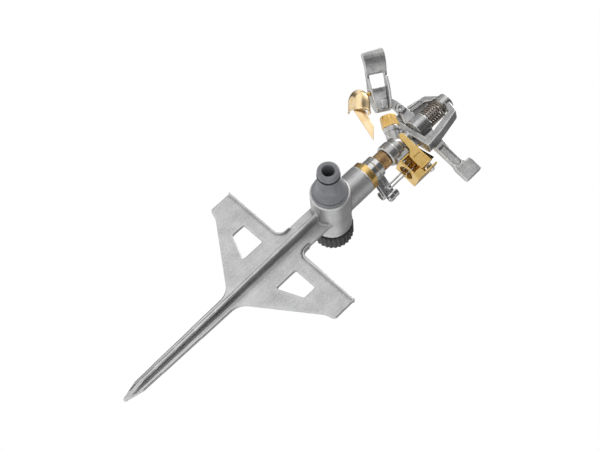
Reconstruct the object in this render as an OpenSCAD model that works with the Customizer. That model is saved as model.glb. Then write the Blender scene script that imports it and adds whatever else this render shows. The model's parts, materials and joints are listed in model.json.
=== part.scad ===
// Impact sprinkler on a ground spike.
// Origin at the tip of the spike, +Z up along the spike and the riser.
// The wings lie in the XZ plane, the hose plug points along -Y and the end cap along +Y.

/* [Ground spike] */
// Thickness of the wing plate
plate_t = 3; // [2:0.5:5]
// Width across both wings
wing_span = 131; // [100:1:160]
// Height of the top edge of the wings above the tip
wing_top_z = 168; // [160:1:180]
// Half width of the blade under the wings
blade_half_w = 6.4; // [5:0.1:8]
// Depth of the middle rib at the top, to each side
rib_depth = 11.5; // [8:0.5:14]
// Thickness of the middle rib
rib_t = 2.8; // [2:0.1:4]

/* [Water inlet] */
// Height of the axis of the inlet barrel
inlet_z = 211; // [205:1:216]
// Outer diameter of the inlet barrel
inlet_d = 30.6; // [29:0.1:34]
// Waterway through the inlet barrel
inlet_bore_d = 19; // [14:0.5:20]
// Outer diameter of the riser tube
riser_d = 24.3; // [23.5:0.1:28]
// Outer diameter of the screwed end cap
cap_d = 32.4; // [31:0.1:36]
// Number of grip ribs round the cap
cap_ribs = 28; // [12:1:40]

/* [Swivel bearing] */
// Width across flats of the hex bush
hex_af = 21.6; // [20:0.5:24]
// Outer diameter of the fixed sleeve that the trip collars clip on
sleeve_d = 15.8; // [15:0.1:17]
// Diameter of the turning nipple
nipple_d = 12; // [11:0.1:12.5]
// Radial running clearance of turning fits
running_gap = 0.05; // [0.02:0.01:0.09]

/* [Head] */
// Direction of the jet, counted from +X towards +Y
head_azimuth = 195; // [190:1:200]
// Upward slope of the jet
jet_elevation = 30; // [28:1:32]
// Diameter of the fulcrum pin
pin_d = 5; // [4:0.5:6]
// Turn of the bridge frame against the jet
bridge_turn = -27; // [-30:1:-24]
// Number of coils of the arm spring
arm_coils = 8; // [5:1:9]
// Wire diameter of the arm spring
arm_wire_d = 1.5; // [1:0.1:1.8]

/* [Drive arm] */
// Height of the middle of the arm's hub
hub_z = 309.5; // [309:0.5:310]
// Diameter of the arm's hub
hub_d = 17; // [15:0.5:18]
// Distance from the hub's axis to the end of the counterweight
counterweight_r = 57.5; // [55:0.5:65]

/* [Hidden] */
$fn = 64;

wing_half = wing_span / 2;
neck_half = 11;
lip_t = 2.2;
lip_depth = 3.4;
inlet_front_y = -24;
inlet_back_y = 20;
cap_back_y = 37;
stub_d = 26.2;
plug_shank_d = 20.9;
plug_shank_l = 13;
hex_z = 246;
hex_h = 5.5;
sleeve_top_z = 262;
shank_bottom_z = 236;
collar_h = 4.4;
ear_azimuth = 47;
collar_z = [252, 257];
jet_z = 284;
barrel_end = 16.6;
nozzle_end = 26;
hub_h = 12.6;
bush_d = 8;
lever_pivot_z = 291.5;
bracket_z = 274;
bracket_x = [-31, -10.2];
trip_tilt = -9;
tail_turn = 178;

// ---------- outlines ----------

function unit(v) = v / norm(v);

// Points of the round that replaces one corner: the arc touches both sides of the corner.
function corner_arc(before, corner, after, r, steps = 6) =
    let (a = unit(before - corner), b = unit(after - corner))
    let (half = acos(max(-1, min(1, a * b))) / 2)
    let (centre = corner + unit(a + b) * r / sin(half))
    let (p = corner + a * r / tan(half) - centre, q = corner + b * r / tan(half) - centre)
    let (start = atan2(p.y, p.x), turn = (atan2(q.y, q.x) - start + 540) % 360 - 180)
    [for (i = [0:steps]) centre + r * [cos(start + turn * i / steps), sin(start + turn * i / steps)]];

// A closed outline from [x, y, radius] corners; radius 0 keeps the corner sharp.
function rounded(corners) =
    let (n = len(corners), xy = [for (c = corners) [c.x, c.y]])
    [for (i = [0:n - 1])
        each corners[i][2] > 0
            ? corner_arc(xy[(i + n - 1) % n], xy[i], xy[(i + 1) % n], corners[i][2])
            : [xy[i]]];

// The outline of a strip of thickness t that follows a list of points.
function strip(path, t) =
    let (n = len(path))
    let (side = [for (i = [0:n - 1])
        let (d = unit(path[min(i + 1, n - 1)] - path[max(i - 1, 0)])) [-d.y, d.x] * t / 2])
    concat([for (i = [0:n - 1]) path[i] + side[i]],
           [for (i = [n - 1:-1:0]) path[i] - side[i]]);

function arc(centre, r, from, to, steps = 10) =
    [for (i = [0:steps]) let (a = from + (to - from) * i / steps) centre + r * [cos(a), sin(a)]];

// A plate standing in the XZ plane, t thick and centred on y.
module upright(outline, t, y = 0)
    translate([0, y + t / 2, 0]) rotate([90, 0, 0]) linear_extrude(t) polygon(outline);

// A round wire or rod that follows a list of 3-D points.
module wire(path, d, sides = 8, up = [0, 0, 1]) {
    n = len(path);
    rings = [for (i = [0:n - 1])
        let (along = unit(path[min(i + 1, n - 1)] - path[max(i - 1, 0)]))
        let (across = unit(cross(along, up)), lift = cross(across, along))
        for (j = [0:sides - 1])
            path[i] + d / 2 * (cos(360 * j / sides) * across + sin(360 * j / sides) * lift)];
    walls = [for (i = [0:n - 2], j = [0:sides - 1])
        let (k = (j + 1) % sides)
        [i * sides + j, i * sides + k, (i + 1) * sides + k, (i + 1) * sides + j]];
    ends = [[for (j = [sides - 1:-1:0]) j], [for (j = [0:sides - 1]) (n - 1) * sides + j]];
    polyhedron(rings, concat(walls, ends));
}

function helix(r, pitch, turns, z, steps = 20) =
    [for (i = [0:turns * steps])
        [r * cos(360 * i / steps), r * sin(360 * i / steps), z + pitch * i / steps]];

module tube(outer_d, inner_d, h) {
    difference() {
        cylinder(d = outer_d, h = h);
        translate([0, 0, -1]) cylinder(d = inner_d, h = h + 2);
    }
}

// The inlet's axis: +Z of the children becomes -Y, starting from the plane y.
module at_inlet(y) translate([0, y, inlet_z]) rotate([90, 0, 0]) children();

// The head's own frame: +X along the jet seen from above, +Y to its left.
module in_head() rotate([0, 0, head_azimuth]) children();

// The jet's axis: +Z of the children points along the jet.
module along_jet() in_head() translate([0, 0, jet_z]) rotate([0, 90 - jet_elevation, 0]) children();

// The spoon's frame: +X along the jet, +Y to its left, +Z square to the jet.
module in_spoon() in_head() translate([0, 0, jet_z]) rotate([0, -jet_elevation, 0]) children();

// ---------- ground spike, inlet and riser ----------

function mirrored(right) =
    concat(right, [for (i = [len(right) - 1:-1:0]) [-right[i].x, right[i].y]]);

wing_outline = rounded([
    [1, 0.4, 0], [4.8, 15, 6], [blade_half_w, 107.5, 14], [wing_half - 8, 144.6, 8],
    [wing_half, 146.8, 3], [wing_half, wing_top_z, 0.6],
    [neck_half, wing_top_z, 5], [neck_half, inlet_z, 0]]);

lip_outline = rounded([
    [wing_half, wing_top_z - lip_t, 0], [wing_half, wing_top_z, 0.6], [neck_half, wing_top_z, 5],
    [neck_half, wing_top_z + 9, 0], [neck_half - 1.2, wing_top_z + 9, 0],
    [neck_half - 1.2, wing_top_z - lip_t, 7]]);

window_outline = rounded([[17.5, 135.2, 0.5], [37.6, 143.9, 0.5], [37.6, 155.4, 0.5], [17.5, 155.4, 0.5]]);

rib_outline = rounded([
    [0.4, 0.4, 0], [6, 19, 8], [rib_depth, inlet_z - 22, 0], [rib_depth, inlet_z, 0]]);

module spike_body() color("silver") {
    difference() {
        union() {
            upright(mirrored(wing_outline), plate_t);
            for (side = [0, 1]) mirror([side, 0, 0]) upright(lip_outline, 2 * lip_depth);
            rotate([0, 0, 90]) upright(mirrored(rib_outline), rib_t);
            at_inlet(inlet_back_y) cylinder(d = inlet_d, h = inlet_back_y - inlet_front_y);
            at_inlet(33) cylinder(d = stub_d, h = 14);
            translate([0, 0, inlet_z]) cylinder(d = riser_d, h = hex_z - inlet_z);
        }
        for (side = [0, 1]) mirror([side, 0, 0]) upright(window_outline, plate_t + 2);
        at_inlet(34) cylinder(d = inlet_bore_d, h = 60);
        at_inlet(inlet_front_y + plug_shank_l + 1.6) cylinder(d = plug_shank_d, h = 20);
        translate([0, 0, inlet_z]) cylinder(d = 19, h = 40);
    }
}

// Half section of the plug, as [radius, distance from the barrel's rim]; the bore is 9.5 wide.
plug_section = [
    [4.75, -plug_shank_l], [plug_shank_d / 2, -plug_shank_l], [plug_shank_d / 2, 0],
    [13.9, 0], [13.9, 2.2], [13.3, 2.8], [12.2, 2.8], [12.2, 3.8], [13.0, 4.2], [13.0, 5.6],
    [11.9, 6.2], [11.3, 7.6], [11.0, 9.0], [10.2, 9.4], [9.2, 14.5], [7.6, 17.4], [6.8, 18.6],
    [6.8, 22.0], [8.3, 22.6], [8.3, 24.1], [7.0, 24.4], [7.0, 26.6], [8.4, 26.9], [8.4, 30.4],
    [7.4, 31.7], [5.9, 31.9], [4.75, 31.4]];

module hose_plug() color("gray")
    at_inlet(inlet_front_y) rotate_extrude() polygon(plug_section);

module plug_oring() color("black")
    at_inlet(inlet_front_y - 25.5) rotate_extrude() translate([7.9, 0]) circle(d = 1.8, $fn = 24);

module plug_seal() color("dimgray")
    at_inlet(inlet_front_y + plug_shank_l + 1.6) tube(plug_shank_d - 0.2, 13, 1.5);

module end_cap() color("#1c1c1e") {
    skirt_h = 15.4;
    at_inlet(cap_back_y) difference() {
        union() {
            cylinder(d1 = cap_d - 3, d2 = cap_d, h = 1.6);
            translate([0, 0, 1.6]) cylinder(d = cap_d - 1.2, h = skirt_h - 1.6);
            for (i = [0:cap_ribs - 1]) rotate([0, 0, i * 360 / cap_ribs])
                translate([cap_d / 2 - 1, -0.8, 1.4]) cube([1, 1.6, skirt_h - 2.6]);
        }
        translate([0, 0, 2.6]) cylinder(d = stub_d + 0.4, h = skirt_h);
    }
}

module cap_seal() color("dimgray")
    at_inlet(34.3) tube(stub_d - 0.4, 16, 1.2);

// ---------- swivel bearing ----------

module hex_bush() color("goldenrod") {
    difference() {
        union() {
            intersection() {
                translate([0, 0, hex_z]) rotate([0, 0, 19])
                    cylinder(d = hex_af / cos(30), h = hex_h, $fn = 6);
                translate([0, 0, hex_z]) cylinder(d = hex_af / cos(30) - 1.1, h = hex_h);
            }
            translate([0, 0, shank_bottom_z]) cylinder(d = 18.8, h = 10.5);
            translate([0, 0, hex_z]) cylinder(d = sleeve_d, h = sleeve_top_z - hex_z);
        }
        translate([0, 0, shank_bottom_z - 1]) cylinder(d = nipple_d + 2 * running_gap, h = 40);
    }
}

module bearing_nipple() color("peru") {
    difference() {
        union() {
            translate([0, 0, 224]) cylinder(d = 17.4, h = 2);
            translate([0, 0, 224]) cylinder(d = nipple_d, h = 54);
            translate([0, 0, sleeve_top_z + 0.4]) cylinder(d = 14.6, h = 8.4);
        }
        translate([0, 0, 220]) cylinder(d = 8.4, h = 60);
    }
}

module thrust_washer() color("white")
    translate([0, 0, 234.4]) tube(17.4, nipple_d + 0.1, 1.2);

module bearing_seal() color("black")
    translate([0, 0, 232.6]) tube(17.2, nipple_d + 0.1, 1.6);

module bearing_spring() color("silver")
    wire(helix(7.3, 1.45, 3, 227.1), 1.1);

// A spring clip: a ring on the sleeve with two ears that end in curls.
module trip_collar(z, spread) {
    ring_r = sleeve_d / 2 + running_gap;
    ear_t = 0.9;
    ear = concat([[1.6, ring_r + 0.2], [1.8, ring_r + 6]], arc([5.2, ring_r + 16.6], 3.2, 188, -60, 12));
    translate([0, 0, z]) {
        tube(2 * ring_r + 2.2, 2 * ring_r, collar_h);
        for (side = [0, 1]) rotate([0, 0, -90 + ear_azimuth]) mirror([side, 0, 0])
            translate([spread, 0, 0]) linear_extrude(collar_h) polygon(strip(ear, ear_t));
    }
}

module trip_collar_lower() color("lightgray") trip_collar(collar_z[0], 0.6);

module trip_collar_upper() color("lightgray") trip_collar(collar_z[1], -0.4);

// ---------- head ----------

bridge_outer = rounded([
    [-22, 297, 1], [-20.5, 313, 6], [-15.6, 336.4, 3], [-6, 339.6, 4], [6, 339.2, 4], [14.6, 333, 3],
    [19.5, 313, 6], [19.5, 297, 1]]);
bridge_inner = rounded([
    [-16.5, 302.2, 1], [-11, 332, 3], [-4, 335.4, 2], [4, 335.4, 2], [10.4, 328.6, 3], [14.2, 302.2, 1]]);
bridge_slot = rounded([[13.4, 313, 1], [16.6, 313, 1], [14.4, 328, 1], [11.6, 328, 1]]);

module head_body() color("silver") {
    difference() {
        union() {
            translate([0, 0, 271.2]) cylinder(d1 = 17.4, d2 = 18.4, h = 1.2);
            translate([0, 0, 272.4]) cylinder(d = 18.4, h = 7);
            translate([0, 0, 279.4]) cylinder(d = 16.8, h = 4.6);
            translate([0, 0, 284]) cylinder(d1 = 16.8, d2 = 11, h = 5);
            translate([0, 0, 289]) cylinder(d = 11, h = 9);
            translate([0, 0, 298]) cylinder(d = 8, h = 4.4);
            along_jet() cylinder(d = 11.6, h = barrel_end);
            along_jet() translate([0, 0, barrel_end - 3.6]) cylinder(d = 12.8, h = 3.6);
            in_head() rotate([0, 0, bridge_turn]) difference() {
                upright(bridge_outer, 9);
                upright(bridge_inner, 11);
                for (side = [-1, 1]) translate([0, side * 4.5, 0])
                    upright(bridge_slot, 2);
            }
            translate([0, 0, 335.4]) cylinder(d = 14, h = 6.6);
            in_head() translate([-10.4, -6, 275]) cube([6, 12, 20]);
        }
        translate([0, 0, 270]) cylinder(d = nipple_d, h = 8);
        translate([0, 0, 277]) cylinder(d = 8.4, h = 6);
        along_jet() cylinder(d = 8, h = 30);
        // Room for the nozzle's hexagon under the bridge.
        along_jet() translate([0, 0, barrel_end]) cylinder(d = 15.4, h = 12);
        // Flats on the bridge, where the arm comes to rest and where its tail passes.
        in_head() translate([9, -5.2, 302.6]) cube([15, 8, 13.4]);
        in_head() translate([-18, -5, 302.6]) cube([8, 8, 13.4]);
        // Pocket in the crown for the top of the arm spring.
        translate([0, 0, 326]) cylinder(d = 15.8, h = 9.4);
        translate([0, 0, 288]) cylinder(d = pin_d, h = 51);
        in_head() translate([-20, 0, 279]) rotate([0, 90, 0]) cylinder(d = 3, h = 14);
    }
}

module nozzle_tip() color("gold") {
    along_jet() difference() {
        union() {
            translate([0, 0, 9]) cylinder(d = 8, h = 9);
            intersection() {
                translate([0, 0, barrel_end]) rotate([0, 0, 30])
                    cylinder(d = 12.4 / cos(30), h = nozzle_end - barrel_end, $fn = 6);
                translate([0, 0, barrel_end]) cylinder(d1 = 14.6, d2 = 12.6, h = nozzle_end - barrel_end);
            }
        }
        translate([0, 0, 8]) cylinder(d1 = 6.4, d2 = 4, h = 12);
        translate([0, 0, 19]) cylinder(d = 4, h = 10);
        translate([0, 0, nozzle_end - 1.2]) cylinder(d1 = 4, d2 = 6.4, h = 1.3);
    }
}

module fulcrum_pin() color("gainsboro")
    translate([0, 0, 288]) cylinder(d = pin_d, h = 51);

// ---------- drive arm ----------

// Plan of the spoon's plate, along the jet: straight, then across to the left, then straight.
spoon_path = concat(
    [[32, -3.4]],
    arc([47, 8.6], 12, -90, -42, 6),
    arc([75.5, -7.8], 17.5, 138, 92, 6),
    [[79.5, 9.6]]);

// Side of the spoon, square to the jet.
spoon_side = rounded([[32, -7.2, 1], [38, -8.8, 4], [64, -8.4, 8], [77.5, -9.2, 1.5], [79.5, 10, 1.5],
                      [50, 8.2, 6], [32, 5.4, 1]]);

// The hollow between the rims in the lower part of the spoon.
spoon_hollow = rounded([[28, -4.6, 0], [37, -6.6, 3], [64, -6.6, 0], [64, 6.2, 0], [50, 6.2, 4], [28, 2.6, 0]]);

module spoon() in_spoon() {
    difference() {
        intersection() {
            translate([0, 0, -10]) linear_extrude(20) polygon(strip(spoon_path, 3));
            upright(spoon_side, 60);
        }
        translate([51.6, -10, -5.8]) cube([10, 30, 12]);
    }
    difference() {
        intersection() {
            upright(spoon_side, 60);
            translate([0, 0, -10]) linear_extrude(20)
                polygon([[32, -4.9], [50, -4.9], [58, 3], [58, 5.4], [36, 5.4], [32, 2]]);
        }
        upright(spoon_hollow, 60);
    }
}

web_side = rounded([[4, 303.6, 0], [11, 303.6, 2], [16, 306.4, 3], [26, 306.4, 3], [30.5, 300, 0],
                    [36, 304, 0], [31.5, 312, 3], [22, 314.4, 3], [4, 315.4, 0]]);

// Sides of the arm's tail, of the counterweight on its end and of the recess in the tail.
tail_side = rounded([[4, 304.2, 0], [44, 304.2, 0], [44, 313.4, 3], [30, 313.4, 4], [18, 314.8, 4], [4, 314.8, 0]]);
weight_side = rounded([[41, 304.2, 0], [44.5, 303.2, 2], [counterweight_r, 303.2, 2], [counterweight_r, 319.6, 2],
                       [44.5, 319.6, 2], [44.5, 313.4, 3], [41, 313.4, 0]]);
tail_recess = rounded([[24, 305.6, 1.4], [43.4, 305.6, 2.4], [43.4, 312, 2.4], [24, 312, 1.4]]);

module drive_arm() color("silver") {
    difference() {
        union() {
            translate([0, 0, hub_z - hub_h / 2]) cylinder(d = hub_d, h = hub_h);
            in_head() upright(web_side, 3.6, -3.1);
            in_head() translate([20.4, 0.4, 310]) rotate([90, 0, 0]) cylinder(d = 7.4, h = 5);
            spoon();
            in_head() rotate([0, 0, tail_turn]) {
                upright(tail_side, 4.2);
                upright(weight_side, 4.6);
            }
        }
        translate([0, 0, 295]) cylinder(d = bush_d, h = 30);
        translate([0, 0, hub_z - hub_h / 2 - 1]) cylinder(d = 12, h = 2.6);
        in_head() translate([20.4, 5, 310]) rotate([90, 0, 0]) cylinder(d = 2.6, h = 12);
        in_head() rotate([0, 0, tail_turn]) upright(tail_recess, 3.4, -2.1);
    }
}

module arm_bush(flip, sunk) {
    translate([0, 0, hub_z]) mirror([0, 0, flip]) translate([0, 0, sunk - hub_h / 2 - 0.5]) difference() {
        union() {
            cylinder(d = 10.5, h = 0.5);
            cylinder(d = bush_d, h = 5.5);
        }
        translate([0, 0, -1]) cylinder(d = pin_d + 2 * running_gap, h = 8);
    }
}

module arm_bush_lower() color("ivory") arm_bush(0, 1.6);

module arm_bush_upper() color("ivory") arm_bush(1, 0);

module arm_spring() color("dimgray")
    wire(helix(6.9, arm_wire_d + 0.4, arm_coils, hub_z + hub_h / 2 + 1.6), arm_wire_d);

module spring_seat() color("gray")
    translate([0, 0, 334.3]) tube(13, pin_d + 0.1, 1);

// Plan and side of the brass vane: a curl in front that runs back into a flat blade.
vane_path = concat([[43.5, -2]], arc([48, 4.2], 6.4, -80, 100, 12), [[36, 9.6], [13, 8.4]]);
vane_side = rounded([[41.6, 297.3, 0], [47, 300.2, 2], [53, 297, 5], [54.4, 289, 6], [49.6, 281, 5],
                     [42, 277.4, 4], [14.5, 270.6, 0.5], [22.6, 280.4, 0.5], [37, 286, 4]]);

module splash_vane() color("gold")
    in_head() intersection() {
        translate([0, 0, 260]) linear_extrude(50) polygon(strip(vane_path, 0.9));
        upright(vane_side, 60);
    }

module vane_rivet() color("gold")
    in_spoon() translate([46.5, 2, -10.7]) cylinder(d = 4, h = 2);

// ---------- reversing trip ----------

module trip_bracket() color("goldenrod") in_head() {
    difference() {
        union() {
            translate([bracket_x[1] - 1.4, -6, bracket_z]) cube([1.2, 12, 22]);
            translate([bracket_x[0], -7, bracket_z]) cube([1.4, 14, 21.5]);
            translate([bracket_x[0], 7, bracket_z]) cube([6.4, 1.4, 8]);
            translate([bracket_x[0], -8.4, bracket_z]) cube([bracket_x[1] - bracket_x[0] - 0.2, 1.2, 17]);
            translate([bracket_x[0], -8, bracket_z]) cube([bracket_x[1] - bracket_x[0] - 0.2, 16, 1.4]);
        }
        translate([-19.5, 0, bracket_z - 1]) cylinder(d = 12.5, h = 4);
        translate([-40, 0, lever_pivot_z]) rotate([0, 90, 0]) cylinder(d = 3, h = 40);
        translate([-20, 0, 279]) rotate([0, 90, 0]) cylinder(d = 3, h = 14);
    }
}

module bracket_screw() color("silver") in_head() {
    translate([-13.2, 0, 279]) rotate([0, 90, 0]) {
        cylinder(d = 5.4, h = 1.4);
        cylinder(d = 3, h = 6.6);
    }
}

lever_side = rounded([[5.6, 289.6, 1], [2, 287.2, 1], [-9, 286.8, 3], [-13.4, 282, 1], [-26.6, 282, 1],
                      [-26.6, 292.6, 1], [-9, 292.4, 3], [3, 292.2, 1]]);

module trip_lever() color("gold") in_head() {
    difference() {
        union() {
            upright(lever_side, 1.8, 8.4);
            translate([-26.6, -4.5, 288]) cube([13.4, 13, 4.6]);
            translate([-26.6, 0, lever_pivot_z]) rotate([0, 90, 0]) cylinder(d = 6.4, h = 13.4);
        }
        translate([-40, 0, lever_pivot_z]) rotate([0, 90, 0]) cylinder(d = 3 + 2 * running_gap, h = 40);
        translate([-24.8, 8.4, 283.8]) cube([9, 2, 6.6]);
    }
}

module trip_pin() color("silver") in_head()
    translate([-32.6, 0, lever_pivot_z]) rotate([0, 90, 0]) cylinder(d = 3, h = 21);

module trip_pin_clip() color("silver") in_head()
    translate([-32.2, 0, lever_pivot_z]) rotate([0, 90, 0]) tube(5.6, 3, 0.9);

module trip_spring() color("silver") in_head()
    translate([-29, 0, lever_pivot_z]) rotate([0, 90, 0]) wire(helix(2.6, 0.85, 2, 0, 16), 0.75);

module trip_finger() color("lightgray") in_head()
    translate([0, 0, lever_pivot_z]) rotate([trip_tilt, 0, 0])
        wire(concat([[-16, 0, -3], [-16, 0, -14], [-16.8, 0, -20], [-16.8, 0, -33]],
                    [for (a = [-20:-20:-160]) [-18.2 + 1.4 * cos(a), 0, -33.4 + 1.4 * sin(a)]],
                    [[-19.6, 0, -33], [-19.6, 0, -20], [-20.6, 0, -14], [-20.6, 0, -3]]), 1.3, 8, [0, 1, 0]);

spike_body();
hose_plug();
plug_oring();
plug_seal();
end_cap();
cap_seal();
hex_bush();
bearing_nipple();
thrust_washer();
bearing_seal();
bearing_spring();
trip_collar_lower();
trip_collar_upper();
head_body();
nozzle_tip();
fulcrum_pin();
drive_arm();
arm_bush_lower();
arm_bush_upper();
arm_spring();
spring_seat();
splash_vane();
vane_rivet();
trip_bracket();
bracket_screw();
trip_lever();
trip_pin();
trip_pin_clip();
trip_spring();
trip_finger();
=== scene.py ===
# %% [markdown]
# # Impact sprinkler on a ground spike
#
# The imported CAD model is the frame: it says where every piece goes and which body it rides on.
# This notebook puts the looks on that frame. It makes, in order, the camera and the light,
# the materials, soft-edged copies of the castings, new surfaces for the turned, moulded,
# wound and curled pieces, and rounded copies of the small ones.
#
# All shapes are worked out in millimetres in the row's frame: the origin is the tip of the
# spike, +Z runs up the spike and the riser, and the hose plug points along -Y.

# %% Load the frame
import json
import math

import bmesh
import bpy
import numpy as np
from mathutils import Matrix, Vector


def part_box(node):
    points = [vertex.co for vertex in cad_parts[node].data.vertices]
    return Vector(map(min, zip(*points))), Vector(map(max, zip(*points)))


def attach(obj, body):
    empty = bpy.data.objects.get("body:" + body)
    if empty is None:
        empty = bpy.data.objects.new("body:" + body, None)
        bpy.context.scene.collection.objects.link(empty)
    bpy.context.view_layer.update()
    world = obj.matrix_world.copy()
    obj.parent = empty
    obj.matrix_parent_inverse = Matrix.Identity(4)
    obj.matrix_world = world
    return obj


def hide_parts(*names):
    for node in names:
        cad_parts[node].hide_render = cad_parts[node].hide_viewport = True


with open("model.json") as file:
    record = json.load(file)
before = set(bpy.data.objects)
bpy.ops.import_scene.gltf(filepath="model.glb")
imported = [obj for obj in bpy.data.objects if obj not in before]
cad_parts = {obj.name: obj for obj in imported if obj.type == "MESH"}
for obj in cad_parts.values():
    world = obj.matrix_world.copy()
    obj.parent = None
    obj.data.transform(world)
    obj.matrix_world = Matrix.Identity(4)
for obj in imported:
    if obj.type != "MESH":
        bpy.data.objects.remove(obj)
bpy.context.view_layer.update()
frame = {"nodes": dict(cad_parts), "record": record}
MM = 0.001
body_of_node = {node: body for body, nodes in frame["record"]["behaviour"]["bodies"].items() for node in nodes}
slot_of_node = {part["node"]: part["material_slot"] for part in frame["record"]["subparts"]}
look_of_node = {**slot_of_node, "head_body": "zinc_head", "drive_arm": "zinc_head", "splash_vane": "brass_with_painted_reflection"}
joint_of_name = {joint["name"]: joint for joint in frame["record"]["behaviour"]["joints"]}

# %% [markdown]
# ## Camera
#
# The camera looks up at the sprinkler from the plug's side, rolled so that the spike leans
# down to the left. It is given by the point it looks at, its distance, its azimuth round
# the riser, its elevation and its roll.

# %% Camera
def camera_axes(azimuth, elevation, roll):
    """The camera's right, up and backward directions. Azimuth 0 looks along +Y; a positive
    roll turns the right direction towards up."""
    a, e, r = (math.radians(v) for v in (azimuth, elevation, roll))
    back = Vector((math.sin(a) * math.cos(e), -math.cos(a) * math.cos(e), math.sin(e)))
    level = Vector((math.cos(a), math.sin(a), 0))
    right = math.cos(r) * level + math.sin(r) * back.cross(level)
    return right, back.cross(right), back


camera_target = Vector((0.01405, -0.05058, 0.16762))
camera_distance = 0.86677
right, up, back = camera_axes(22.77, -17.26, 47.19)
turn_of_camera = Matrix((right, up, back)).transposed().to_4x4()
camera = bpy.data.objects.new("camera", bpy.data.cameras.new("camera"))
camera.matrix_world = Matrix.Translation(camera_target + camera_distance * back) @ turn_of_camera
camera.data.lens = 73.903
camera.data.sensor_width = 36
camera.data.clip_start = 0.05
bpy.context.scene.collection.objects.link(camera)
bpy.context.scene.camera = camera
print("camera", tuple(round(v, 4) for v in camera.location))

# %% [markdown]
# ## Floor and light
#
# A plain pale floor lies under the spike. Lamps close to it would leave bright pools with
# edges on so large a floor, so two suns as wide as a studio ceiling light it evenly. They
# also brighten the upper edges of the metal. A sun shines from a direction, so it is only
# turned and not placed.

# %% Floor and light
def soft_sun(name, direction, strength):
    """Even light from a wide patch of the studio's ceiling or wall, in the given direction."""
    light = bpy.data.lights.new(name, "SUN")
    light.energy, light.angle = strength, math.radians(40)
    lamp = bpy.data.objects.new(name, light)
    lamp.rotation_euler = Vector(direction).to_track_quat("Z", "Y").to_euler()
    bpy.context.scene.collection.objects.link(lamp)


soft_sun("ceiling_light", (-0.25, 0.1, 1.0), 1.15)
soft_sun("side_light", 0.9 * up + 0.7 * right - 0.7 * back, 0.5)

reach, floor_z = 30, -0.1
floor_corners = [(-reach, -reach, floor_z), (reach, -reach, floor_z), (reach, reach, floor_z), (-reach, reach, floor_z)]
floor_mesh = bpy.data.meshes.new("floor")
floor_mesh.from_pydata(floor_corners, [], [(0, 1, 2, 3)])
floor = bpy.data.objects.new("floor", floor_mesh)
bpy.context.scene.collection.objects.link(floor)
bpy.context.scene.view_settings.view_transform = "Standard"
print("floor", 2 * reach, "m wide at z =", floor_z)

# %% [markdown]
# ## A small language for materials
#
# `Value` wraps a socket, so that shader arithmetic reads like ordinary arithmetic. `Graph`
# adds nodes: the type first, then the settings, then the inputs.

# %% Material language
class Value:
    """A socket that can be added, subtracted and multiplied in a node tree."""

    def __init__(self, graph, socket):
        self.graph, self.socket = graph, socket

    def math(self, operation, *others):
        return self.graph.add("ShaderNodeMath", {"operation": operation}, dict(enumerate((self, *others))))

    def __add__(self, other):
        return self.math("ADD", other)

    def __sub__(self, other):
        return self.math("SUBTRACT", other)

    def __mul__(self, other):
        return self.math("MULTIPLY", other)

    def __rsub__(self, other):
        return self.math("MULTIPLY", -1).math("ADD", other)

    __radd__, __rmul__ = __add__, __mul__

    def sine(self):
        return self.math("SINE")

    def between(self, low, high):
        """0 below low, 1 above high and a smooth step from one to the other."""
        return self.graph.add("ShaderNodeMapRange", {"interpolation_type": "SMOOTHSTEP"},
                              {"Value": self, "From Min": low, "From Max": high})


class Graph:
    """The node tree of one material or of the world."""

    def __init__(self, tree):
        self.tree = tree
        tree.nodes.clear()

    def add(self, kind, settings=None, inputs=None, out=0):
        node = self.tree.nodes.new(kind)
        for name, value in (settings or {}).items():
            setattr(node, name, value)
        for key, value in (inputs or {}).items():
            if isinstance(value, Value):
                self.tree.links.new(value.socket, node.inputs[key])
            else:
                node.inputs[key].default_value = value
        return Value(self, node.outputs[out]) if len(node.outputs) else node

    def place(self, scale=(1, 1, 1), turn=(0, 0, 0)):
        """Object coordinates, turned and scaled."""
        here = self.add("ShaderNodeTexCoord", out="Object")
        return self.add("ShaderNodeMapping", {}, {"Vector": here, "Scale": scale, "Rotation": turn})

    def noise(self, size_mm, detail=2, place=None, roughness=0.5):
        """Noise from 0 to 1 with features of about size_mm."""
        return self.add("ShaderNodeTexNoise", {}, {
            "Vector": place or self.place(), "Scale": 1 / (size_mm * MM), "Detail": detail, "Roughness": roughness})

    def height(self):
        """The object's own z, in metres."""
        return self.add("ShaderNodeSeparateXYZ", {}, {0: self.place()}, out=2)

    def rings(self, pitch_mm):
        """Level rings, from -1 to 1, as a lathe tool leaves them: the sine of 2 pi z / pitch."""
        return (self.height() * (2 * math.pi / (pitch_mm * MM))).sine()

    def blend(self, factor, dark, light):
        """A colour between two colours."""
        colours = {0: factor, 6: (*dark, 1), 7: (*light, 1)}
        return self.add("ShaderNodeMix", {"data_type": "RGBA"}, colours, out=2)

    def bump(self, height, strength, depth_mm):
        """A normal that leans as if the surface went depth_mm in and out."""
        return self.add("ShaderNodeBump", {}, {"Height": height, "Strength": strength, "Distance": depth_mm * MM})

    def surface(self, constants, **inputs):
        """A Principled surface on the output. Constants are set on the shader's own sockets."""
        patterns = {name.replace("_", " "): value for name, value in inputs.items()}
        shader = self.add("ShaderNodeBsdfPrincipled", {}, {**constants, **patterns})
        self.add("ShaderNodeOutputMaterial", {}, {"Surface": shader})


materials = {}


def material(name):
    """A new material, and its graph."""
    materials[name] = bpy.data.materials.new(name)
    materials[name].use_nodes = True
    return Graph(materials[name].node_tree)


# %% [markdown]
# ## What the metal reflects
#
# Polished metal shows its shape by what it mirrors. The camera sees a white surround, but
# the metal sees a dim studio: a large soft box in front of the wings, a strip on the right,
# a soft ceiling and a faint wall behind. Each is a round patch of the sky that fades out
# with the angle from its middle.

# %% World
world = bpy.data.worlds.new("studio")
world.use_nodes = True
bpy.context.scene.world = world
sky = Graph(world.node_tree)
ray = sky.add("ShaderNodeTexCoord", out="Generated")


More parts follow.
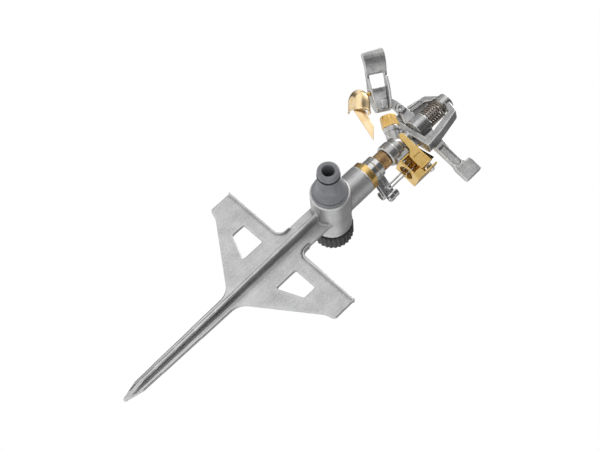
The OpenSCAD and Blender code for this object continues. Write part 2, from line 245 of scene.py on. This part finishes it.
def towards(direction):
    """How far a ray of the world points in a direction, from -1 to 1."""
    return sky.add("ShaderNodeVectorMath", {"operation": "DOT_PRODUCT"},
                   {0: ray, 1: tuple(Vector(direction).normalized())}, out="Value")


dim_room = 0.17
softbox = 1.32 * towards((-0.26, -0.92, 0.28)).between(0.84, 0.955)
side_strip = 0.55 * towards((0.93, 0.2, 0.3)).between(0.86, 0.97)
overhead = 1.2 * towards((-0.35, -0.1, 0.93)).between(0.55, 0.95)
back_wall = 0.20 * towards((0, 1, 0)).between(0.35, 0.9)
studio = sky.add("ShaderNodeBackground", {}, {"Strength": dim_room + softbox + side_strip + overhead + back_wall})
white = sky.add("ShaderNodeBackground", {}, {"Strength": 1.0, "Color": (1, 1, 1, 1)})
seen = sky.add("ShaderNodeLightPath", out="Is Camera Ray")
either = sky.add("ShaderNodeMixShader", {}, {0: seen, 1: studio, 2: white})
sky.add("ShaderNodeOutputWorld", {}, {"Surface": either})
print("studio made of", len(world.node_tree.nodes), "nodes")

# %% [markdown]
# ## Materials
#
# Sizes of grain, scratches and tool marks are real sizes in millimetres. Every metal has
# three scales of variation: a slow change of tone, a fine grain in the colour and the
# roughness, and a bump.
#
# The castings are tumbled zinc. Their skin is sandy, their edges are painted bright, partly as
# rubbed wear and partly as painted highlight, their hollows are painted dark as painted shade,
# and soil polishes the blade. The head's castings have more contrast than the spike, so the
# same recipe makes both.

# %% Zinc die casting
def zinc(name, dark, light, rough, marks):
    """Tumbled zinc: a slow tone, a sandy grain, a coarser skin and faint upright streaks.
    Edges are painted brighter, as rubbed wear and painted highlight, and hollows and corners are painted darker, as
    painted shade, by how far the surface stands out.
    The grain fades out down the blade (object z from 135 to 95 mm), where soil polishes it."""
    g = material(name)
    tone, streak = g.noise(14, 3), g.noise(1.1, 2, g.place((1, 1, 0.06)))
    sandy = g.height().between(95 * MM, 135 * MM)
    grain = 0.5 + (g.noise(0.45, 3, roughness=0.65) - 0.5) * sandy
    skin = 0.5 + (g.noise(1.7, 4, roughness=0.6) - 0.5) * sandy
    shade = (0.26 * tone + 0.42 * grain + 0.22 * skin + 0.10 * streak).between(0.37, 0.63)
    # Pointiness: convex edges painted brighter (wear and painted highlight), hollows painted darker (painted shade).
    wear_and_painted_shade = g.add("ShaderNodeNewGeometry", out="Pointiness").between(0.44, 0.56)
    g.surface({"Metallic": 1.0},
              Base_Color=g.blend(0.7 * shade + 1.1 * wear_and_painted_shade - 0.4, dark, light),
              Roughness=rough - 0.12 + 0.12 * sandy + 0.14 * grain + 0.06 * skin,
              Normal=g.bump(0.6 * grain + 0.4 * skin, marks, 0.10))


zinc("zinc_casting", (0.36, 0.36, 0.36), (0.70, 0.70, 0.705), 0.32, 0.34)
zinc("zinc_head", (0.20, 0.20, 0.20), (0.72, 0.72, 0.715), 0.22, 0.36)

# %% [markdown]
# The bush and the nozzle are turned brass, and the nipple is bronze: both keep the fine
# rings of the tool. The bracket, the lever and the vane are pressed from brass sheet, with
# long scratches instead of rings. The vane's copy is painted paler, a painted reflection of
# bright white light. Springs and pins are drawn or plated steel.

# %% Brass, bronze and steel
g = material("turned_brass")
tone, grain = g.noise(9, 3), g.noise(0.3, 2)
shade = (0.6 * tone + 0.4 * grain).between(0.3, 0.7)
g.surface({"Metallic": 1.0},
          Base_Color=g.blend(shade, (0.66, 0.40, 0.11), (0.93, 0.66, 0.27)),
          Roughness=0.17 + 0.10 * grain + 0.10 * tone,
          Normal=g.bump(0.4 * g.rings(0.35) + grain, 0.06, 0.03))


def sheet(name, dark, light):
    """Pressed brass sheet: a slow tone, a fine grain and long scratches in one direction."""
    g = material(name)
    tone, grain = g.noise(7, 3), g.noise(0.5, 3)
    scratch = g.noise(0.35, 2, g.place((1, 0.06, 0.5), (0.3, 0.2, 0.4)))
    shade = (0.5 * tone + 0.25 * grain + 0.25 * scratch).between(0.3, 0.7)
    g.surface({"Metallic": 1.0},
              Base_Color=g.blend(shade, dark, light),
              Roughness=0.15 + 0.08 * tone + 0.08 * scratch,
              Normal=g.bump(0.6 * scratch + 0.4 * grain, 0.06, 0.03))


sheet("sheet_brass", (0.70, 0.45, 0.13), (0.90, 0.66, 0.28))
# A paler copy of the sheet brass for the vane: a painted reflection of bright white light.
sheet("brass_with_painted_reflection", (0.82, 0.58, 0.28), (0.96, 0.78, 0.52))

g = material("bronze")
tone, grain = g.noise(5, 3), g.noise(0.3, 2)
shade = (0.6 * tone + 0.4 * grain).between(0.3, 0.7)
g.surface({"Metallic": 1.0},
          Base_Color=g.blend(shade, (0.26, 0.15, 0.07), (0.62, 0.42, 0.21)),
          Roughness=0.24 + 0.14 * grain,
          Normal=g.bump(0.5 * g.rings(0.5) + grain, 0.25, 0.04))


def wire_metal(slot, dark, light, rough, marks):
    """Bare or plated steel: a slow tone, a fine grain and shallow marks."""
    g = material(slot)
    tone, grain, fine = g.noise(4, 3), g.noise(0.4, 3), g.noise(0.15, 2)
    g.surface({"Metallic": 1.0},
              Base_Color=g.blend((0.6 * tone + 0.4 * grain).between(0.3, 0.7), dark, light),
              Roughness=rough + 0.10 * grain + 0.08 * tone,
              Normal=g.bump(0.6 * grain + 0.4 * fine, marks, 0.03))


wire_metal("plated_steel", (0.50, 0.50, 0.51), (0.78, 0.78, 0.78), 0.07, 0.12)
wire_metal("spring_steel", (0.38, 0.37, 0.36), (0.66, 0.65, 0.63), 0.20, 0.20)
wire_metal("dark_spring_steel", (0.15, 0.125, 0.105), (0.40, 0.35, 0.30), 0.24, 0.22)

# %% [markdown]
# Moulded pieces take the fine grain of the tool that shaped them. Their colour hardly
# changes, so the roughness and the bump carry the look.

# %% Plastics and rubber
def moulded(slot, dark, light, rough, grain_mm, marks, coat=0.0):
    """A moulded surface: flow marks, a spark-eroded grain and small specks."""
    g = material(slot)
    flow, grain, speck = g.noise(8, 3), g.noise(grain_mm, 3), g.noise(0.9, 2)
    g.surface({"Metallic": 0.0, "IOR": 1.47, "Coat Weight": coat, "Coat Roughness": 0.2},
              Base_Color=g.blend((0.6 * flow + 0.4 * speck).between(0.3, 0.7), dark, light),
              Roughness=rough + 0.12 * grain + 0.06 * flow,
              Normal=g.bump(0.8 * grain + 0.2 * speck, marks, 0.05))


moulded("grey_plastic", (0.19, 0.195, 0.21), (0.28, 0.285, 0.30), 0.30, 0.25, 0.30)
moulded("black_plastic", (0.010, 0.010, 0.011), (0.028, 0.028, 0.030), 0.34, 0.30, 0.35)
moulded("white_plastic", (0.70, 0.69, 0.64), (0.84, 0.83, 0.79), 0.36, 0.30, 0.20)
moulded("seal_rubber", (0.008, 0.008, 0.008), (0.022, 0.022, 0.022), 0.40, 0.20, 0.25)

g = material("floor_paint")
shade = g.noise(40, 3).between(0.3, 0.7)
g.surface({"Metallic": 0.0},
          Base_Color=g.blend(shade, (0.80, 0.80, 0.80), (0.84, 0.84, 0.84)),
          Roughness=0.55 + 0.1 * g.noise(6, 2))
floor.data.materials.append(materials["floor_paint"])

for node, cad_object in frame["nodes"].items():
    cad_object.data.materials.clear()
    cad_object.data.materials.append(materials[look_of_node[node]])
print(len(materials), "materials")

# %% [markdown]
# ## Mesh tools
#
# `made` turns arrays of points and faces into a piece that stands for one CAD node. The
# other two start from the CAD node's own surface. `rounded_copy` bevels the edges of small,
# simple pieces. A bevel fails where many curved faces of a casting meet, so `cast_copy`
# rebuilds those in voxels and smooths them.

# %% Mesh tools
def finish_piece(piece, node):
    """Puts the node's material and body on a piece, and hides the CAD node."""
    piece.data.materials.clear()
    piece.data.materials.append(materials[look_of_node[node]])
    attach(piece, body_of_node[node])
    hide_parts(node)
    return piece


def joined(mesh, sharp_degrees, flatten=0.0):
    """Merges doubled points, melts flat regions, turns the faces outward and shades them smooth."""
    work = bmesh.new()
    work.from_mesh(mesh)
    bmesh.ops.remove_doubles(work, verts=work.verts, dist=2e-6)
    if flatten:
        bmesh.ops.dissolve_limit(work, angle_limit=math.radians(flatten),
                                 verts=work.verts, edges=work.edges)
    bmesh.ops.recalc_face_normals(work, faces=work.faces)
    work.to_mesh(mesh)
    work.free()
    mesh.shade_smooth()
    mesh.set_sharp_from_angle(angle=math.radians(sharp_degrees))


def made(name, points, faces, node, sharp_degrees=40):
    """A piece from points in millimetres, shape (n, 3), and faces, shape (m, 3 or 4)."""
    mesh = bpy.data.meshes.new(name)
    mesh.vertices.add(len(points))
    mesh.vertices.foreach_set("co", (np.asarray(points, float) * MM).ravel())
    mesh.loops.add(faces.size)
    mesh.loops.foreach_set("vertex_index", faces.astype(np.int32).ravel())
    mesh.polygons.add(len(faces))
    mesh.polygons.foreach_set("loop_start", np.arange(0, faces.size, faces.shape[1], dtype=np.int32))
    mesh.update(calc_edges=True)
    joined(mesh, sharp_degrees)
    piece = bpy.data.objects.new(name, mesh)
    bpy.context.scene.collection.objects.link(piece)
    print(name, len(mesh.polygons), "faces")
    return finish_piece(piece, node)


def rounded_copy(node, width_mm, segments=2, angle=32, flatten=0.3):
    """A copy of a CAD node with its sharp edges rounded by a Bevel modifier."""
    mesh = frame["nodes"][node].data.copy()
    joined(mesh, angle, flatten)
    piece = bpy.data.objects.new(node + "_look", mesh)
    bpy.context.scene.collection.objects.link(piece)
    bevel = piece.modifiers.new("edges", "BEVEL")
    bevel.width, bevel.segments, bevel.limit_method = width_mm * MM, segments, "ANGLE"
    bevel.angle_limit = math.radians(angle)
    bevel.use_clamp_overlap = False
    bevel.harden_normals = True
    return finish_piece(piece, node)


def cast_copy(node, voxel_mm, rounds):
    """A copy of a casting with soft edges: the CAD surface is rebuilt in voxels, which rounds
    every edge by about one voxel, and the steps are then smoothed away."""
    mesh = frame["nodes"][node].data.copy()
    joined(mesh, 180)
    block = bpy.data.objects.new(node + "_block", mesh)
    bpy.context.scene.collection.objects.link(block)
    remesh = block.modifiers.new("voxels", "REMESH")
    remesh.mode, remesh.voxel_size = "VOXEL", voxel_mm * MM
    rebuilt = bpy.data.meshes.new_from_object(block.evaluated_get(bpy.context.evaluated_depsgraph_get()))
    bpy.data.objects.remove(block)
    work = bmesh.new()
    work.from_mesh(rebuilt)
    for _ in range(rounds):
        bmesh.ops.smooth_vert(work, verts=work.verts, factor=0.5,
                              use_axis_x=True, use_axis_y=True, use_axis_z=True)
    work.to_mesh(rebuilt)
    work.free()
    rebuilt.shade_smooth()
    piece = bpy.data.objects.new(node + "_look", rebuilt)
    bpy.context.scene.collection.objects.link(piece)
    print(piece.name, 2 * len(rebuilt.polygons), "triangles")
    return finish_piece(piece, node)


# %% [markdown]
# ## Castings
#
# The spike, the head and the drive arm are zinc die castings with soft edges everywhere.
# The voxels are as small as 200,000 triangles a piece allow, so that windows, ribs and the
# pocket of the spoon keep their shape.

# %% Castings
voxel_and_rounds = {"spike_body": (0.64, 4), "head_body": (0.4, 3), "drive_arm": (0.4, 4)}
for node, (voxel_mm, rounds) in voxel_and_rounds.items():
    cast_copy(node, voxel_mm, rounds)

# %% [markdown]
# ## Surfaces of revolution
#
# A turned or moulded piece is a closed outline of radius against height, swept round its
# axis. `rounded` puts a small arc on every corner of the outline, so that edges catch light.

# %% Lathe
def rounded(corners, radius, steps=5):
    """A closed outline with every corner replaced by a curve: a quadratic blend between the
    points that lie radius before and after the corner, or nearer where a side is short."""
    corners = np.asarray(corners, float)
    before, after = np.roll(corners, 1, 0) - corners, np.roll(corners, -1, 0) - corners
    lengths = [np.linalg.norm(side, axis=1, keepdims=True) for side in (before, after)]
    start, end = (corners + side / length * np.minimum(radius, 0.45 * length)
                  for side, length in zip((before, after), lengths))
    t = np.linspace(0, 1, steps)[None, :, None]
    arcs = (1 - t) ** 2 * start[:, None] + 2 * t * (1 - t) * corners[:, None] + t ** 2 * end[:, None]
    return arcs.reshape(-1, 2)


def grid_faces(rows, columns, close_rows=True, close_columns=True):
    """Four-sided faces between neighbouring points of a rows by columns grid."""
    i, j = np.meshgrid(np.arange(rows - (not close_rows)), np.arange(columns - (not close_columns)),
                       indexing="ij")
    k, m = (i + 1) % rows, (j + 1) % columns
    return np.stack([i * columns + j, i * columns + m, k * columns + m, k * columns + j], -1).reshape(-1, 4)


def lathe(outline, sides=96, swell=None):
    """Points round +Z: the outline's radius, plus swell(angle, row weight) where that is given."""
    angle = np.linspace(0, 2 * np.pi, sides, endpoint=False)
    radius = outline[:, :1] + (swell(angle, outline) if swell else 0 * angle)
    height = np.broadcast_to(outline[:, 1:2], radius.shape)
    return np.stack([radius * np.cos(angle), radius * np.sin(angle), height], -1).reshape(-1, 3), \
        grid_faces(len(outline), sides)


def along_inlet(points, y):
    """Turns +Z of the points into -Y, starts them at y and lifts them to the inlet's axis."""
    return np.stack([points[:, 0], y - points[:, 2], points[:, 1] + inlet_z], -1)


def corners_of(node):
    """A CAD node's lowest and highest corner in millimetres."""
    return [np.array(corner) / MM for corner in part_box(node)]


# %% [markdown]
# The hose plug is one turned outline: shank, flange, sloping body, the neck that the hose
# connector latches on, and two collars with the O-ring between them. The O-ring is a circle
# swept round the same axis.

# %% Hose plug and O-ring
plug_low, plug_high = corners_of("hose_plug")
inlet_z = (plug_low[2] + plug_high[2]) / 2
plug_seat_y = plug_high[1] - 13
plug_bore = 4.75
plug_outline = [
    (plug_bore, -13), (10.45, -13), (10.45, 0), (13.9, 0), (13.9, 2.3), (13.3, 2.8), (12.2, 2.9), (12.2, 3.8),
    (13.0, 4.2), (13.0, 5.6), (11.9, 6.2), (11.3, 7.6), (11.0, 9.0), (10.2, 9.5), (9.2, 14.5), (7.6, 17.4),
    (6.8, 18.6), (6.8, 22.0), (8.3, 22.6), (8.3, 24.1), (7.0, 24.4), (7.0, 26.6), (8.4, 26.9), (8.4, 30.4),
    (7.4, 31.7), (5.9, 31.9), (plug_bore, 31.4)]
points, faces = lathe(rounded(plug_outline, 0.45), 128)
made("hose_plug_look", along_inlet(points, plug_seat_y), faces, "hose_plug")

ring_angle = np.linspace(0, 2 * np.pi, 24, endpoint=False)
ring_outline = np.stack([7.9 + 0.9 * np.cos(ring_angle), 25.5 + 0.9 * np.sin(ring_angle)], -1)
points, faces = lathe(ring_outline, 96)
made("plug_oring_look", along_inlet(points, plug_seat_y), faces, "plug_oring", 180)

# %% [markdown]
# The end cap has 28 grip ribs. They stand on the skirt only, so the swell of the radius is
# weighted by the height, and each rib has a rounded crest and a flat valley.

# %% End cap
cap_end_y = corners_of("end_cap")[1][1]
cap_outline = rounded([(0.01, 0), (14.4, 0), (15.5, 1.5), (15.5, 14.6), (15.2, 15.4), (13.3, 15.4), (13.3, 2.6),
                       (0.01, 2.6)], 0.6)
cap_ribs = 28


def grip(angle, outline):
    """Crests 0.65 high on the outer side of the skirt: the clipped cosine of ribs times the angle."""
    height, radius = outline[:, 1:2], outline[:, :1]
    on_skirt = np.clip((height - 1.0) / 0.8, 0, 1) * np.clip((14.9 - height) / 0.8, 0, 1) * (radius > 14.8)
    return 0.65 * on_skirt * np.clip(1.6 * np.cos(cap_ribs * angle) + 0.5, 0, 1)


points, faces = lathe(cap_outline, cap_ribs * 14, grip)
made("end_cap_look", along_inlet(points, cap_end_y), faces, "end_cap", 50)

# %% [markdown]
# The turning nipple shows between the collars and the head: a bronze tube with a shoulder,
# and fine thread rings under the head.

# %% Nipple
nipple_low, nipple_high = corners_of("bearing_nipple")
threads = [(7.3 - 0.28 * (i % 2), 264.0 + 0.42 * i) for i in range(15)]
foot = [(4.2, nipple_low[2]), (8.7, nipple_low[2]), (8.7, 226), (6.0, 226), (6.0, 262.4), (7.1, 262.4), (7.3, 263.2)]
neck = [(7.3, 270.8), (6.0, 270.8), (6.0, nipple_high[2]), (4.2, nipple_high[2])]
points, faces = lathe(rounded(foot + threads + neck, 0.2, 3), 96)
made("bearing_nipple_look", points, faces, "bearing_nipple", 60)

# %% [markdown]
# ## Wound and bent wire
#
# A wire is a ring of points carried along a path. The ring stands square to the path; its
# first direction is square to both the path and a guide direction. The ring shrinks to
# nothing over the last few points, which rounds the wire's ends.

# %% Wire
def tube(path, diameter, sides=16, guide=(0, 0, 1)):
    """Points and faces of a round wire along a path, with rounded ends."""
    path = np.asarray(path, float)
    along = np.gradient(path, axis=0)
    along /= np.linalg.norm(along, axis=1, keepdims=True)
    across = np.cross(along, guide)
    across /= np.linalg.norm(across, axis=1, keepdims=True)
    lift = np.cross(across, along)
    step = np.linalg.norm(path - path[0], axis=1), np.linalg.norm(path - path[-1], axis=1)
    rim = np.clip(np.minimum(*step) / (0.5 * diameter), 0, 1)
    radius = 0.5 * diameter * np.sqrt(1 - (1 - rim) ** 2)[:, None, None]
    angle = np.linspace(0, 2 * np.pi, sides, endpoint=False)[:, None]
    ring = np.cos(angle) * across[:, None] + np.sin(angle) * lift[:, None]
    return (path[:, None] + radius * ring).reshape(-1, 3), grid_faces(len(path), sides, close_rows=False)


def rounded_path(corners, spacing=0.25, rounds=4):
    """Corner cutting: each side gives points at a quarter and at three quarters of itself, and
    the two ends stay. The result is then spaced evenly."""
    path = np.asarray(corners, float)
    for _ in range(rounds):
        near, far = 0.75 * path[:-1] + 0.25 * path[1:], 0.25 * path[:-1] + 0.75 * path[1:]
        path = np.vstack([path[:1], np.stack([near, far], 1).reshape(-1, 3), path[-1:]])
    run = np.concatenate([[0], np.cumsum(np.linalg.norm(np.diff(path, axis=0), axis=1))])
    even = np.linspace(0, run[-1], int(run[-1] / spacing) + 2)
    return np.stack([np.interp(even, run, path[:, axis]) for axis in range(3)], -1)


def coil(node, wire, turns, tight=0.0, start=0.0, per_turn=40):
    """A helix on a vertical axis that fills the CAD node's box. `tight` of a turn lies flat at
    each end."""
    low, high = corners_of(node)
    middle, radius = (low + high) / 2, (high[0] - low[0] - wire) / 2
    turn = np.linspace(0, turns, int(turns * per_turn) + 1)
    rise = np.clip((turn - tight) / (turns - 2 * tight), 0, 1)
    height = low[2] + wire / 2 + (high[2] - low[2] - wire) * rise
    angle = 2 * np.pi * (turn + start)
    return np.stack([middle[0] + radius * np.cos(angle), middle[1] + radius * np.sin(angle), height], -1)


arm_wire, bearing_wire = 1.5, 1.1
points, faces = tube(coil("arm_spring", arm_wire, 8, 0.5), arm_wire, 20)
made("arm_spring_look", points, faces, "arm_spring", 180)
points, faces = tube(coil("bearing_spring", bearing_wire, 3, 0.4), bearing_wire, 14)
made("bearing_spring_look", points, faces, "bearing_spring", 180)

# %% [markdown]
# ## The head's own frame
#
# The trip, the vane and the jet are laid out along the jet: +X is the jet's direction seen
# from above and +Y is its left. The direction is that of the trip lever's pin. The finger
# is one wire, bent into a long narrow loop that hangs from the lever and leans a little.
# The over-centre spring is two turns round the pin.

# %% Trip finger and trip spring
jet = np.array(joint_of_name["trip_lever_turn"]["axis"])
left = np.cross((0, 0, 1), jet)


def in_head(points):
    """From the head's frame to the row's frame."""
    points = np.asarray(points, float)
    return points[:, :1] * jet + points[:, 1:2] * left + points[:, 2:] * (0, 0, 1)


pivot_z = joint_of_name["trip_lever_turn"]["pos_m"][2] / MM
finger_tilt = math.radians(-9)
front_leg = [(-16.0, 0, -2.8), (-16.0, 0, -14), (-16.9, 0, -21), (-16.8, 0, -33), (-16.9, 0, -34.9)]
rear_leg = [(-19.5, 0, -34.9), (-19.6, 0, -33), (-19.5, 0, -21), (-20.6, 0, -14), (-20.6, 0, -2.8)]
finger_path = rounded_path(front_leg + rear_leg)
turned = np.stack([finger_path[:, 0], -finger_path[:, 2] * math.sin(finger_tilt),
                   pivot_z + finger_path[:, 2] * math.cos(finger_tilt)], -1)
points, faces = tube(turned, 1.3, 16, (0, 1, 0))
made("trip_finger_look", in_head(points), faces, "trip_finger", 180)

turn = np.linspace(0, 2, 81)
angle = 2 * np.pi * turn
trip_coil = np.stack([-29 + 0.85 * turn, 2.6 * np.sin(angle), pivot_z + 2.6 * np.cos(angle)], -1)
points, faces = tube(trip_coil, 0.75, 12, (1, 0, 0))
made("trip_spring_look", in_head(points), faces, "trip_spring", 180)

# %% [markdown]
# ## Splash vane
#
# The vane is brass sheet, 0.8 thick, that catches the jet and throws it aside. It has three
# shapes. The cup is half a bullet: rings round a slanted axis whose radius stays the same
# for a while and then closes like an ellipse, with a small flare at the mouth. The blade is
# a flat four-sided plate with a slight bow, from the cup's mouth to a slanted tail. Both are
# open surfaces that a Solidify modifier gives their thickness. The lug is a short round bar
# up to the spoon.

# %% Vane
def sheet_points(centre, *terms):
    """A sum of (amount, direction) terms on top of a centre, in the head's frame."""
    return sum((np.asarray(amount)[..., None] * np.asarray(direction, float) for amount, direction in terms),
               np.asarray(centre, float))


cup_axis, cup_side = np.array((1, 0, 1)) / math.sqrt(2), np.array((-1, 0, 1)) / math.sqrt(2)
outward = np.array((0, 1, 0))
cup_grid, blade_grid = (40, 60), (50, 16)
rise, turn = np.meshgrid(np.linspace(0, 1, cup_grid[0]), np.radians(np.linspace(-118, 118, cup_grid[1])), indexing="ij")
height = 18.6 * np.sin(0.5 * np.pi * rise)
girth = 8.3 * np.sqrt(np.clip(1 - (np.clip(height - 7.5, 0, None) / 11.2) ** 2, 0.0004, 1))
girth = girth * (1 + 0.05 * np.clip(1 - height / 2.5, 0, 1) ** 2)
cup = sheet_points((39.0, 2.8, 281.6), (height, cup_axis), (girth * np.sin(turn), cup_side),
                   (0.86 * girth * np.cos(turn), outward))

run, across = np.meshgrid(np.linspace(0, 1, blade_grid[0]), np.linspace(0, 1, blade_grid[1]), indexing="ij")
root = sheet_points((45.2, 6.0, 278.8), (across, (-8.6, 0, 6.0)))
tail = sheet_points((14.8, 8.6, 270.9), (across, (7.6, 0, 8.3)))
bow = 0.9 * np.sin(np.pi * across) * (1 - run)
blade = root + run[..., None] * (tail - root) + bow[..., None] * outward
points = np.vstack([cup.reshape(-1, 3), blade.reshape(-1, 3)])
faces = np.vstack([grid_faces(*cup_grid, False, False), grid_faces(*blade_grid, False, False) + cup.size // 3])
vane = made("splash_vane_look", in_head(points), faces, "splash_vane", 60)
shell = vane.modifiers.new("sheet", "SOLIDIFY")
shell.thickness, shell.offset = 0.8 * MM, 0

lug, lug_faces = tube(rounded_path([(46.2, 2.0, 290.5), (45.8, 2.0, 294.0), (45.5, 2.0, 298.2)]), 3.4, 20, (0, 1, 0))
made("vane_lug_look", in_head(lug), lug_faces, "splash_vane", 180)

# %% [markdown]
# ## Smaller parts
#
# Pressed, turned and cut pieces keep their CAD shape and get edges rounded by a tenth to
# four tenths of a millimetre, after their real thickness. The nozzle's six flats run into a
# tapered end, where a bevel breaks down, so it is rebuilt like the castings.

# %% Smaller parts
cast_copy("nozzle_tip", 0.2, 3)
edge_mm = {"hex_bush": 0.3, "trip_bracket": 0.25, "trip_lever": 0.3, "trip_collar_lower": 0.14,
           "trip_collar_upper": 0.14, "fulcrum_pin": 0.25, "trip_pin": 0.3, "bracket_screw": 0.25,
           "vane_rivet": 0.4, "spring_seat": 0.15, "arm_bush_lower": 0.12, "arm_bush_upper": 0.12}
for node, width in edge_mm.items():
    rounded_copy(node, width)
print(len(edge_mm), "small pieces with rounded edges")
